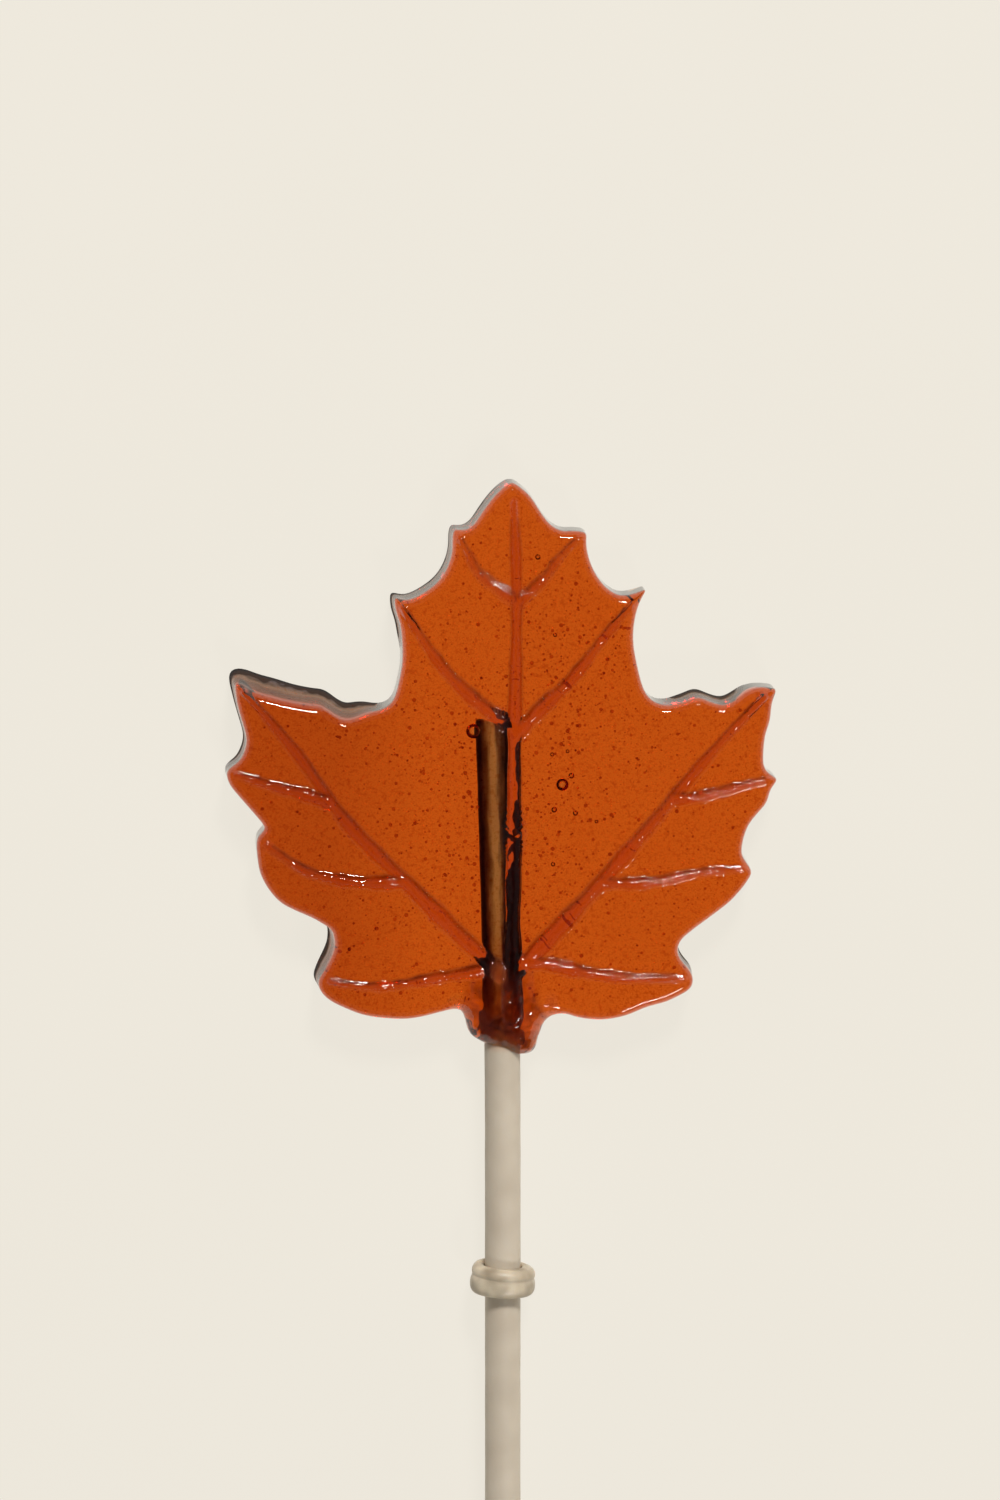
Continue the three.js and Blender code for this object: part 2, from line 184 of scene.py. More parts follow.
# %% Stretches of the outline
TIP = (0.9, 52.9)
STRETCHES = [
    (0.15, [(1.8, 52.3), (3.0, 51.2), (4.1, 49.5), (5.2, 48.1), (6.5, 47.4)]),
    (0.15, [(7.7, 47.5), (9.2, 47.3)]),
    (0.15, [(9.1, 45.9), (9.5, 44.1), (10.2, 42.6), (11.2, 41.3), (12.5, 40.4)]),
    (0.15, [(13.8, 40.4), (15.8, 41.1)]),
    (0.05, [(14.9, 39.4), (14.4, 37.4), (14.3, 35.1), (14.8, 32.3), (15.5, 29.9), (16.6, 28.6),
            (18.2, 28.2)]),
    (0.5, [(19.9, 28.6), (21.4, 29.1), (22.8, 28.6), (24.3, 28.2), (25.4, 28.7), (26.6, 29.7)]),
    (0.0, [(28.1, 30.2), (30.2, 30.0)]),
    (0.15, [(29.6, 28.4), (29.4, 26.5), (28.9, 24.9), (28.7, 23.0), (28.7, 21.4)]),
    (0.15, [(29.3, 20.6), (30.4, 20.0)]),
    (0.15, [(29.5, 18.8), (29.1, 17.4), (28.1, 16.2), (27.1, 14.9), (26.5, 13.2), (26.3, 11.6)]),
    (0.2, [(26.9, 10.7), (27.6, 9.7)]),
    (0.15, [(27.1, 8.8), (26.3, 7.7), (25.0, 6.3), (23.2, 4.9), (21.3, 3.5), (19.8, 2.3)]),
    (0.4, [(19.4, 1.6), (19.3, 0.7), (19.8, -0.3), (20.7, -1.3), (21.1, -2.3)]),
    (0.1, [(20.8, -3.3), (19.7, -4.0), (18.0, -4.8), (15.8, -5.4), (13.6, -6.3), (11.1, -6.75),
           (8.6, -6.55), (6.6, -6.0), (5.3, -6.3)]),
    (0.0, [(4.5, -7.1), (4.2, -8.0), (3.8, -9.0), (3.7, -9.8), (3.2, -10.5)]),
    (0.0, [(1.8, -10.7), (0.3, -10.3), (-1.0, -9.9), (-2.4, -9.2), (-3.6, -8.5)]),
    (0.0, [(-4.0, -7.6), (-4.2, -6.7), (-4.6, -5.6)]),
    (0.1, [(-5.8, -5.5), (-7.5, -5.9), (-9.7, -6.4), (-11.9, -6.5), (-15.2, -6.1), (-17.6, -5.2),
           (-19.3, -4.3), (-20.3, -3.2), (-20.5, -2.1)]),
    (0.9, [(-19.8, -1.0), (-19.0, 0.5), (-18.6, 1.9), (-18.9, 3.5)]),
    (0.15, [(-19.8, 4.1), (-21.2, 4.9), (-23.0, 5.7), (-24.6, 6.6), (-25.9, 8.1), (-26.8, 9.9),
            (-27.1, 11.8), (-27.2, 13.1), (-27.0, 14.0)]),
    (0.15, [(-26.1, 14.8)]),
    (0.15, [(-26.7, 15.6), (-27.8, 16.9), (-29.0, 18.3), (-30.1, 19.7), (-30.5, 21.1)]),
    (0.4, [(-29.7, 21.8), (-29.0, 22.3), (-28.4, 23.5), (-28.2, 24.8), (-28.7, 26.7), (-29.2, 28.6),
           (-29.5, 30.9)]),
    (1.6, [(-28.8, 30.9), (-27.2, 29.9), (-25.5, 29.4), (-23.7, 28.9)]),
    (1.4, [(-21.4, 28.5), (-20.0, 28.3), (-18.5, 27.3), (-17.3, 26.8), (-16.0, 27.1), (-14.8, 27.6)]),
    (0.1, [(-13.2, 28.0), (-12.1, 28.9), (-11.5, 30.8), (-11.1, 33.1), (-11.1, 35.2)]),
    (0.5, [(-11.3, 37.2), (-11.8, 38.7), (-12.0, 40.3)]),
    (0.3, [(-10.8, 39.9)]),
    (0.35, [(-9.9, 40.1), (-8.6, 40.8), (-7.4, 41.7), (-6.5, 42.8), (-5.9, 44.1), (-5.6, 45.4),
            (-5.6, 46.8), (-5.4, 47.8)]),
    (0.3, [(-4.8, 47.6), (-4.0, 47.6)]),
    (0.35, [(-3.2, 48.2), (-2.4, 49.4), (-1.4, 50.8), (-0.3, 52.0), TIP]),
]
AROUND = 720


def smooth_curve(stops, steps):
    """Catmull-Rom curve: between two stops, a cubic whose slope at each stop is half the way from the
    stop before it to the stop after it."""
    p = np.asarray(stops, float)
    p = np.vstack([p[:1], p, p[-1:]])
    a, b, c, d = (p[k:len(p) - 3 + k, None] for k in range(4))
    t = (np.arange(steps) / steps)[None, :, None]
    cubic = b + (c - a) * t / 2 + (2 * a - 5 * b + 4 * c - d) * t**2 / 2
    return (cubic + (3 * b - a - 3 * c + d) * t**3 / 2).reshape(-1, p.shape[1])


def trace_outline():
    """The whole outline as evenly spaced points, with the flare at each."""
    line, flare, start = [], [], TIP
    for stretch_flare, stops in STRETCHES:
        piece = smooth_curve([start, *stops], 8)
        line.append(piece)
        flare.append(np.full(len(piece), stretch_flare))
        start = stops[-1]
    line, flare = np.vstack(line + [[TIP]]), np.append(np.concatenate(flare), STRETCHES[0][0])
    way = np.append(0, np.cumsum(np.hypot(*np.diff(line, axis=0).T)))
    even = np.linspace(0, way[-1], AROUND, endpoint=False)
    points = np.stack([np.interp(even, way, line[:, k]) for k in range(2)], axis=-1)
    return points, np.interp(even, way, flare), way[-1] / AROUND


def even_out(values, width, spacing):
    """Values along the closed outline, averaged with a bell curve of that width in millimetres, by
    damping their Fourier terms."""
    waves = np.fft.rfftfreq(len(values), spacing)
    damping = np.exp(-2 * (np.pi * width * waves) ** 2)
    return np.fft.irfft(np.fft.rfft(values, axis=0) * damping[:, None], len(values), axis=0)


outline, flare, spacing = trace_outline()
front_line = even_out(outline, 0.4, spacing)
flare = even_out(flare[:, None], 1.3, spacing)
along = np.roll(front_line, -1, axis=0) - np.roll(front_line, 1, axis=0)
inward = even_out(np.stack([along[:, 1], -along[:, 0]], axis=-1) / spacing, 3.0, spacing)
inward /= np.linalg.norm(inward, axis=1, keepdims=True)
back_line = front_line - inward * flare
print(f"outline: {AROUND} points, {spacing:.2f} mm apart")

# %% [markdown]
# ## Veins
# The veins are round beads of sugar that the mould's grooves leave on the front. Each has a centre
# line, is thickest at the midrib's foot and tapers outwards. Its height over the slab is that of a
# flattened circle: the root of one minus the squared share of the half width.

# %% Distance to a line, and the veins' height
VEIN_HALF_WIDTH = 1.05
VEIN_HEIGHT = 0.95
VEIN_TAPER = 0.45
CREASE_SHADE_WIDTH = 0.27
VEINS = [
    (1.0, [(0.9, -6.0), (0.9, 3.0), (1.1, 14.0), (1.2, 26.0), (1.4, 40.0), (1.1, 50.6)]),
    (0.9, [(-0.2, -1.4), (-4.7, 2.8), (-10.8, 8.9), (-17.3, 15.6), (-22.6, 23.1), (-28.4, 30.0)]),
    (0.9, [(1.2, -1.4), (5.7, 3.3), (11.2, 9.3), (16.7, 15.7), (23.0, 23.2), (28.6, 29.2)]),
    (0.8, [(1.0, 26.1), (-1.6, 27.7), (-5.0, 30.7), (-7.6, 33.8), (-11.2, 39.2)]),
    (0.8, [(1.3, 25.2), (4.6, 28.5), (7.6, 31.4), (11.2, 36.1), (14.0, 39.4)]),
    (0.7, [(0.0, -0.6), (-6.9, -1.7), (-13.6, -2.7), (-19.2, -2.1)]),
    (0.8, [(0.6, 0.2), (5.2, -0.4), (9.6, -1.4), (15.1, -2.0), (19.9, -2.0)]),
    (0.75, [(-19.3, 17.8), (-22.3, 18.8), (-25.0, 19.5), (-29.2, 20.9)]),
    (0.75, [(-10.8, 8.9), (-15.7, 8.9), (-19.6, 9.5), (-22.3, 10.5), (-26.0, 13.1)]),
    (0.65, [(18.6, 18.0), (21.1, 18.1), (23.9, 18.8), (29.2, 20.1)]),
    (0.65, [(10.7, 8.7), (14.0, 8.6), (17.3, 8.9), (21.7, 9.8), (26.5, 10.2)]),
    (0.6, [(1.4, 39.8), (-2.5, 42.7), (-4.0, 45.2), (-4.9, 46.9)]),
    (0.6, [(1.4, 39.6), (4.5, 42.4), (5.9, 44.4), (8.2, 46.7)]),
]
VEIN_LINES = [np.vstack([smooth_curve(path, 4), path[-1]]) for _, path in VEINS]


def nearest(points, line):
    """Distance from each point to a chain of straight pieces, the share of the chain's length at which
    it is nearest, and which way the point lies from there, as the y of a unit vector. On a piece from
    a to b the nearest place is a + t (b - a), t held to 0..1."""
    a, step = line[:-1], np.diff(line, axis=0)
    length = np.hypot(*step.T)
    t = np.clip(((points[:, None] - a) * step).sum(-1) / length**2, 0, 1)
    offset = points[:, None] - a - t[..., None] * step
    away = np.linalg.norm(offset, axis=-1)
    k = away.argmin(axis=1)
    rows = np.arange(len(points))
    way = np.cumsum(length) - length
    upwards = offset[rows, k, 1] / np.maximum(away[rows, k], 1e-6)
    return away[rows, k], (way[k] + t[rows, k] * length[k]) / length.sum(), upwards


def vein_relief(points):
    """Height of the tallest vein over each point, and how much painted shade lies beside it, in the
    crease. The shade is a bell curve over the distance to the vein's edge, strongest on the vein's upper
    side, and there is none round the vein's two ends."""
    height, crease_shade = np.zeros(len(points)), np.zeros(len(points))
    for number, ((size, _), line) in enumerate(zip(VEINS, VEIN_LINES)):
        away, share, upwards = nearest(points, line)
        unevenness = 1 + 0.10 * np.sin(23 * share + 2.1 * number) + 0.06 * np.sin(57 * share + number)
        scale = size * (1 - (1 - VEIN_TAPER) * share) * unevenness
        half = VEIN_HALF_WIDTH * scale
        height = np.maximum(height, VEIN_HEIGHT * scale * (1 - np.clip(away / half, 0, 1) ** 2) ** 0.6)
        # The dark line beside each vein is painted shade, not a groove in the surface.
        broken = 0.82 + 0.18 * np.sin(31 * share + 1.7 * number) * np.sin(13 * share + number)
        bell = np.exp(-(((away - 0.9 * half) / (CREASE_SHADE_WIDTH * (1.25 - 0.6 * share))) ** 2))
        along_it = (share > 0.004) & (share < 0.97)
        crease_shade = np.maximum(crease_shade, bell * (0.55 + 0.45 * upwards) * broken * along_it)
    return height, crease_shade * (1 - smoothstep(height, 0.45, 0.75))


# %% [markdown]
# ## The sweet's skin
# The front is flat with a soft shoulder at the rim, and the lump round the stick is round all over.
# Both come from one rule: the height over a point depends on its distance to the rim, along a quarter
# of an ellipse. The ellipse is small on the blade and large on the lump. The rings run from the heart
# of the leaf out to the rim, down the wall and back to the middle of the flat back.

# %% Heights of the front and the back
SLAB_TOP = 6.3
LUMP_TOP = 7.05
LUMP_BOTTOM = 0.35


def lump_share(points):
    """1 on the lump round the stick, 0 on the blade."""
    x = points[:, 0] - stick_axis_x(points[:, 1])
    return smoothstep(-points[:, 1], 2.0, 6.5) * (1 - smoothstep(np.abs(x), 4.5, 6.5))


def shoulder(away, width):
    """Quarter of an ellipse: 0 at the rim, 1 from that width inwards."""
    return np.sqrt(1 - (1 - np.clip(away / width, 0, 1)) ** 2)


def ripple(points):
    """The slow unevenness of poured sugar, the sum of three waves of a few millimetres."""
    x, y = points.T
    return (np.sin(0.62 * x + 0.35 * y) + np.sin(0.5 * y - 0.71 * x + 1.3) + np.sin(1.1 * x + 0.9 * y)) / 3


def front_height(points):
    """z of the front: shoulder, ripple, veins, and the hump of the lump sinking into the blade."""
    lump = lump_share(points)
    away, _, _ = nearest(points, np.vstack([front_line, front_line[:1]]))
    foot = 4.9 + (4.1 - 4.9) * lump
    top = SLAB_TOP + (LUMP_TOP - SLAB_TOP) * lump
    rise = shoulder(away, 0.95 + 2.3 * lump)
    across = (points[:, 0] - stick_axis_x(points[:, 1])) / 3.4
    hump = 0.5 * np.sqrt(np.clip(1 - across**2, 0, 1)) * (1 - smoothstep(points[:, 1], -4.0, 6.0))
    relief = np.maximum(vein_relief(points)[0], hump * (1 - lump)) + 0.035 * ripple(points)
    return foot + (top - foot) * rise + relief * shoulder(away, 1.6)


def back_height(points):
    """z of the back: flat on the table, with a small rounding at its rim and a round lump."""
    lump = lump_share(points)
    away, _, _ = nearest(points, np.vstack([back_line, back_line[:1]]))
    foot = 0.55 + (3.3 - 0.55) * lump
    low = LUMP_BOTTOM * lump
    return foot - (foot - low) * shoulder(away, 0.5 + 2.8 * lump)


# %% Rings of the skin
RIM_INSETS = [0, 0.05, 0.12, 0.22, 0.34, 0.48, 0.64, 0.82, 1.02]
BACK_INSETS = [0, 0.08, 0.2, 0.35, 0.55]
FIELD_INSET = 1.6
FIELD_SMOOTHING = 3.4
HEART_SMOOTHING = 14.0
RELAXING_PASSES = 6
RIM_RINGS_RELAXED = 3
WALL_RINGS = 10


def flat_rings(line, insets, strip_count, field_count):
    """Flat rings from the edge to the heart. The first follow the edge at the given insets. A strip
    carries them over to a smoothed copy of the edge. From there on each ring is smoother and smaller
    than the last one, so that all of it can be seen from the heart. At the end a few passes move every
    inner point to the mean of its four neighbours, which opens the last tight corners."""
    rim = [line + inward * inset for inset in insets]
    base = rim[-1] + inward * FIELD_INSET
    field = even_out(base, FIELD_SMOOTHING, spacing)
    strip = [rim[-1] + (field - rim[-1]) * share for share in np.linspace(0, 1, strip_count + 1)[1:]]
    rings = rim + strip
    for share in (np.arange(field_count, 0, -1) / (field_count + 1)) ** 0.8:
        width = FIELD_SMOOTHING + (HEART_SMOOTHING - FIELD_SMOOTHING) * (1 - share)
        rings.append(HEART + (even_out(base, width, spacing) - HEART) * share)
    grid, kept = np.array(rings), len(insets) - RIM_RINGS_RELAXED - 1
    for _ in range(RELAXING_PASSES):
        beside = np.roll(grid, 1, axis=1) + np.roll(grid, -1, axis=1)
        grid[kept + 1:-1] = (grid[kept:-2] + grid[kept + 2:] + beside[kept + 1:-1]) / 4
    return grid


def turned_over(grid):
    """How many cells of a flat grid of rings are folded: those whose signed area has the wrong sign."""
    around, inwards = np.roll(grid, -1, axis=1) - grid, np.diff(grid, axis=0)
    first = np.cross(around[:-1], inwards)
    second = np.cross(np.roll(inwards, -1, axis=1), -around[1:])
    sense = np.sign(np.median(first))
    return int(((first * sense <= 0) | (second * sense <= 0)).sum())


def raised(grid, height):
    """Lifts a flat grid to the surface."""
    return np.stack([np.column_stack([ring, height(ring)]) for ring in grid])


front_grid = flat_rings(front_line, RIM_INSETS, 9, 75)
back_grid = flat_rings(back_line, BACK_INSETS, 3, 14)
print("folded cells, front and back:", turned_over(front_grid), turned_over(back_grid))
front, back = raised(front_grid, front_height), raised(back_grid, back_height)
down = np.linspace(0, 1, WALL_RINGS + 2)[1:-1, None, None]
wall = front[0] * (1 - down) + back[0] * down
sweet_rings = in_model(np.concatenate([front[::-1], wall, back]))
sweet_rings = np.clip(sweet_rings, cad_low + 0.005, cad_high - 0.005)
heart_top = in_model([*HEART, front_height(HEART[None])[0]])
heart_bottom = in_model([*HEART, 0.005])
sweet_skin = skin(sweet_rings, heart_top, heart_bottom)
print("sweet:", len(sweet_rings), "rings,", round(enclosed_volume(*sweet_skin) / 1000, 2), "cm3")

# %% [markdown]
# ## Bubbles
# Air stays in boiled sugar as it sets. The large bubbles are true hollows: spheres whose faces point
# into the air, in the same mesh as the skin, so that light bends at them as at the real ones. The
# small ones could be hollows too, but there are over two thousand of them, and at their size a bubble
# shows only as a dark red dot. So they are a separate piece of tiny see-through reddish beads.

# %% Large bubbles
def ball(radius, around, rows):
    """Rings and poles of a sphere about the origin, by latitude and longitude."""
    latitude = np.pi * (np.arange(1, rows) / rows)
    longitude = 2 * np.pi * np.arange(around) / around
    a, b = np.meshgrid(latitude, longitude, indexing="ij")
    rings = radius * np.stack([np.sin(a) * np.cos(b), np.sin(a) * np.sin(b), np.cos(a)], axis=-1)
    return rings, np.array([0, 0, radius]), np.array([0, 0, -radius])


LARGE_BUBBLES = [
    # x, y, z and radius
    (6.5, 19.5, 4.6, 0.72), (7.5, 20.45, 4.2, 0.33), (5.6, 16.7, 4.5, 0.33), (7.95, 16.3, 4.4, 0.30),
    (5.4, 22.8, 4.0, 0.24), (7.1, 23.1, 3.6, 0.22), (10.3, 15.35, 4.2, 0.22), (3.8, 44.6, 4.4, 0.32),
    (5.7, 36.0, 4.0, 0.24), (5.5, 10.6, 4.1, 0.26), (-3.3, 25.5, 5.0, 0.85),
]
hollows = []
for x, y, z, radius in LARGE_BUBBLES:
    rings, top, bottom = ball(radius, 20, 12)
    centre = in_model([x, y, z])
    hollows.append(skin(rings + centre, top + centre, bottom + centre, inside_out=True))

# %% [markdown]
# ## Marks for the finish
# The finish is not the same all over: a vein is redder on top and has a painted dark line of shade
# beside it, the sugar round the stick is dark and mottled, and the sloping wall has a painted grey
# reflection and black shade. Painting an image would do it, but the places are known from the
# formulas already. So four numbers are worked out at each point and kept in the mesh, where a
# material can read them.

# %% Numbers kept at the points
def over_skin(front_values, wall_values, back_values):
    """Values for every point of the sweet: the rings from the heart to the rim, the wall, the back,
    then the two poles and the hollows, which get 0."""
    values = np.concatenate([front_values[::-1], wall_values, back_values]).ravel()
    return np.append(values, np.zeros(2 + sum(len(points) for points, _, _ in hollows)))


def skin_attributes():
    """ridge is 1 on top of a vein. The crease number is 1 in the painted dark line of shade beside it.
    wall runs from 0 at the wall's upper edge to 1 at the lower one, where the back stands out, and is 0
    elsewhere; it places the wall's painted grey reflection and black shade. stalk is 1 on the lump
    round the stick."""
    height, crease_shade = vein_relief(front_grid.reshape(-1, 2))
    on_blade = 1 - lump_share(front_grid.reshape(-1, 2))
    ridge = smoothstep(height, 0.05, 0.5) * on_blade
    stands_out = smoothstep(flare[:, 0], 0.18, 0.45)
    no_front, no_wall, no_back = (np.zeros(grid.shape[:2]) for grid in (front, wall, back))
    depth_down = down[:, :, 0] * stands_out
    below = np.concatenate([np.tile(stands_out, (2, 1)), no_back[2:]])
    shape = front.shape[:2]
    grids = [front_grid, np.repeat(front_grid[:1], WALL_RINGS, axis=0), back_grid]
    stalk = [stalk_share(grid.reshape(-1, 2)).reshape(grid.shape[:2]) for grid in grids]
    return {
        "stalk": over_skin(*stalk),
        "ridge": over_skin(ridge.reshape(shape), no_wall, no_back),
        "crease_shade": over_skin((crease_shade * on_blade).reshape(shape), no_wall, no_back),
        "wall": over_skin(no_front, depth_down, below),
    }


def stalk_share(points):
    """1 where the sugar round the stick is dark, mottled and lumpy, fading out into the blade."""
    x = points[:, 0] - stick_axis_x(points[:, 1])
    return (1 - smoothstep(points[:, 1], -5.5, 0.5)) * (1 - smoothstep(np.abs(x), 3.2, 4.6))


sweet = mesh_piece("amber_sweet", [sweet_skin, *hollows], skin_attributes())

# %% [markdown]
# ## Small bubbles
# Each bead is the same coarse ball, scaled and moved. The ball's points times all the sizes, plus all
# the centres, give every point at once as one array. Places come from a seeded random generator, so
# that they are the same each time.

# %% Scattered beads
SMALL_BUBBLES = 2200
LARGE_PLACES, LARGE_RADII = np.array(LARGE_BUBBLES)[:, :3], np.array(LARGE_BUBBLES)[:, 3]


def small_bubble_places(count):
    """Random places inside the sweet, thickest round the stick and in the right of the top lobe.
    A place is a random share of the way from the heart to a random point of the rim."""
    wanted = np.empty((0, 3))
    while len(wanted) < count:
        rim = front_line[rng.integers(0, AROUND, 4000)]
        share = 0.95 * np.sqrt(rng.random(4000))[:, None]
        x, y = (HEART + (rim - HEART) * share).T
        z = rng.uniform(1.2, 5.7, 4000)
        middle = np.exp(-((x / 9) ** 2) - ((y - 16) / 20) ** 2)
        upper = np.exp(-(((x - 6) / 5) ** 2) - ((y - 36) / 9) ** 2)
        likely = 0.16 + 0.55 * middle + 0.6 * upper
        clear = np.hypot(x - stick_axis_x(y), z - STICK_AXIS_Z) > STICK_RADIUS + 0.35
        away = np.linalg.norm(np.stack([x, y, z], axis=-1)[:, None] - LARGE_PLACES, axis=-1)
        clear = (clear | (y > STICK_TOP_Y + 0.5)) & (away > LARGE_RADII + 0.3).all(axis=1)
        kept = (rng.random(4000) < likely) & clear & (y > -4.5)
        wanted = np.vstack([wanted, np.column_stack([x, y, z])[kept]])
    return wanted[:count]


places = in_model(small_bubble_places(SMALL_BUBBLES))
sizes = np.clip(0.075 * rng.lognormal(0.1, 0.5, SMALL_BUBBLES), 0.04, 0.24)
rings, top, bottom = ball(1.0, 7, 4)
bead = skin(rings, top, bottom)
bead_count = len(bead[0])
shift = (np.arange(SMALL_BUBBLES) * bead_count)[:, None, None]
specks = (
    (places[:, None] + sizes[:, None, None] * bead[0]).reshape(-1, 3),
    (bead[1] + shift).reshape(-1, 4),
    (bead[2] + shift).reshape(-1, 3),
)
speck_piece = mesh_piece("small_bubbles", [specks])

# %% [markdown]
# ## The stick
# A plain round rod, cut off straight at both ends with a small rounding, and leaning a little inside
# the sweet. Two numbers are kept at each of its points for the finish: how far across the rod it lies,
# from -1 at the left edge to 1 at the right, and how deep it is in the sweet, in millimetres.

# %% Rod along the stick's axis
def rod_profile():
    """Radius and place along the axis: the rounded lower end, the long side, the rounded top."""
    turn = np.linspace(0, np.pi / 2, 5)
    edge = 0.3
    radius = STICK_RADIUS - edge + edge * np.sin(turn)
    low = STICK_END_Y + edge - edge * np.cos(turn)
    side = np.linspace(STICK_END_Y + 2 * edge, STICK_TOP_Y - 2 * edge, 120)
    high = (STICK_TOP_Y - edge + edge * np.cos(turn))[::-1]
    inner = [(0.4, STICK_END_Y), (1.2, STICK_END_Y)]
    outer = [(1.2, STICK_TOP_Y), (0.4, STICK_TOP_Y)]
    rows = [*inner, *zip(radius, low), *((STICK_RADIUS, y) for y in side), *zip(radius[::-1], high), *outer]
    return np.array(rows)


def rod_rings(around=64):
    """Each profile point turned about the axis, with a faint unevenness in the radius."""
    radius, y = rod_profile().T
    turn = 2 * np.pi * np.arange(around) / around
    r, a = np.meshgrid(radius, turn, indexing="ij")
    yy = np.broadcast_to(y[:, None], r.shape)
    r = r * (1 - 0.006 * (1 + np.sin(0.9 * yy + 2 * a) * np.sin(0.23 * yy)))
    x = stick_axis_x(yy) + r * np.cos(a)
    return np.stack([x, yy, STICK_AXIS_Z + r * np.sin(a)], axis=-1), np.cos(a) * (r / STICK_RADIUS)


rings, across = rod_rings()
low_end = in_model([0.0, STICK_END_Y, STICK_AXIS_Z])
high_end = in_model([stick_axis_x(STICK_TOP_Y), STICK_TOP_Y, STICK_AXIS_Z])
rod = skin(in_model(rings), low_end, high_end)
depth = np.concatenate([rings[..., 1].ravel(), [STICK_END_Y, STICK_TOP_Y]]) - MOUTH_Y
stick = mesh_piece("straight_stick", [rod], {"across": np.append(across.ravel(), [0, 0]), "depth": depth})

# %% [markdown]
# ## The ring
# A short sleeve of soft elastic that grips the stick. It is a little askew, thicker on its lower
# side, and has a faint groove. Its bore lies straight along the stick, just clear of it.

# %% Sleeve with rounded lips
RING_Y = -36.2
RING_TILT = math.radians(5)
RING_SECTION = [
    # radius and place along the ring's axis, from the bore's lower end round the outside to its top
    (2.12, -1.35), (2.35, -1.6), (2.9, -1.65), (3.3, -1.5), (3.56, -1.1), (3.64, -0.6), (3.62, -0.15),
    (3.52, 0.2), (3.47, 0.4), (3.53, 0.6), (3.55, 0.85), (3.45, 1.2), (3.2, 1.5), (2.8, 1.64),
    (2.35, 1.6), (2.12, 1.35), (2.08, 0.6), (2.08, -0.6),
]


def sleeve(around=120):
    """A closed section carried round the ring's axis, as a grid that meets itself both ways. The
    outside is tilted and the bore isn't, because the soft ring's bore follows the stick."""
    section = smooth_curve([*RING_SECTION, RING_SECTION[0]], 4)
    turn = 2 * np.pi * np.arange(around) / around
    r, a = np.meshgrid(section[:, 0], turn, indexing="ij")
    y = np.broadcast_to(section[:, 1:], r.shape)
    soft = 1 + 0.006 * np.sin(3 * a + 1) * (r > 2.6)
    r = np.minimum(r * soft, 3.66)
    x, z = r * np.cos(a), r * np.sin(a)
    y = y * (1 + 0.06 * np.cos(a + 2.6))
    tilt = RING_TILT * smoothstep(r, 2.15, 2.9)
    tilted_x = x * np.cos(tilt) + y * np.sin(tilt)
    tilted_y = y * np.cos(tilt) - x * np.sin(tilt)
    points = np.stack([tilted_x, tilted_y + RING_Y, z + STICK_AXIS_Z], axis=-1)
    rows, columns = points.shape[:2]
    i, j = np.meshgrid(np.arange(rows), np.arange(columns), indexing="ij")
    here, beyond = i * columns, (i + 1) % rows * columns
    beside = (j + 1) % columns
    quads = np.stack([here + j, here + beside, beyond + beside, beyond + j], axis=-1).reshape(-1, 4)
    tris = np.empty((0, 3), int)
    points = in_model(points.reshape(-1, 3))
    if enclosed_volume(points, quads, tris) < 0:
        quads = quads[:, ::-1]
    return points, quads, tris


ring = mesh_piece("elastic_ring", [sleeve()])

# %% [markdown]
# ## Finishes
# No real surface is one flat colour. Each material here starts from the same cloudy mottling, with its
# own size and contrast, so that is a node group: one recipe that the others use by name.

# %% Mottling as a node group
def new_group(name, inputs, outputs):
    """An empty shader node group with float inputs {name: default} and the named float outputs."""
    group = bpy.data.node_groups.new(name, "ShaderNodeTree")
    for key, value in inputs.items():
        socket = group.interface.new_socket(name=key, in_out="INPUT", socket_type="NodeSocketFloat")
        socket.default_value = value
    for key in outputs:
        group.interface.new_socket(name=key, in_out="OUTPUT", socket_type="NodeSocketFloat")
    return group, group.nodes.new("NodeGroupInput"), group.nodes.new("NodeGroupOutput")


def mottling_group():
    """Mask is a soft cloudy noise of the asked size, spread over 0 to 1 by the asked contrast. Fine is
    a noise eight times finer, for the relief."""
    group, given, result = new_group("mottling", {"Size mm": 2.0, "Contrast": 1.6}, ["Mask", "Fine"])
    nodes, links = group.nodes, group.links
    place = nodes.new("ShaderNodeTexCoord")
    scale = nodes.new("ShaderNodeMath")
    scale.operation = "DIVIDE"
    scale.inputs[0].default_value = 1000.0
    links.new(given.outputs["Size mm"], scale.inputs[1])
    finer = nodes.new("ShaderNodeMath")
    finer.operation = "MULTIPLY"
    finer.inputs[1].default_value = 8.0
    links.new(scale.outputs[0], finer.inputs[0])
    cloudy, fine = nodes.new("ShaderNodeTexNoise"), nodes.new("ShaderNodeTexNoise")
    for noise, size, detail in ((cloudy, scale, 1.0), (fine, finer, 4.0)):
        links.new(place.outputs["Object"], noise.inputs["Vector"])
        links.new(size.outputs[0], noise.inputs["Scale"])
        noise.inputs["Detail"].default_value = detail
    spread = nodes.new("ShaderNodeMath")
    spread.operation = "MULTIPLY_ADD"
    spread.use_clamp = True
    middle = nodes.new("ShaderNodeMath")
    middle.operation = "SUBTRACT"
    middle.inputs[1].default_value = 0.5
    links.new(cloudy.outputs["Fac"], middle.inputs[0])
    links.new(middle.outputs[0], spread.inputs[0])
    links.new(given.outputs["Contrast"], spread.inputs[1])
    spread.inputs[2].default_value = 0.5
    links.new(spread.outputs[0], result.inputs["Mask"])
    links.new(fine.outputs["Fac"], result.inputs["Fine"])
    return group


mottling = mottling_group()


# %% [markdown]
# ## Helpers for materials
# A material is a small graph of nodes. Building one by hand takes many lines that differ little, so
# the kinds that come up most have a function each, which sets and links them.

# %% Small helpers for materials
def new_material(name):
    """A material with its Principled BSDF and output, and what is needed to add to it."""
    material = bpy.data.materials.new(name)
    material.use_nodes = True
    nodes, links = material.node_tree.nodes, material.node_tree.links
    return material, nodes, links, nodes["Principled BSDF"]


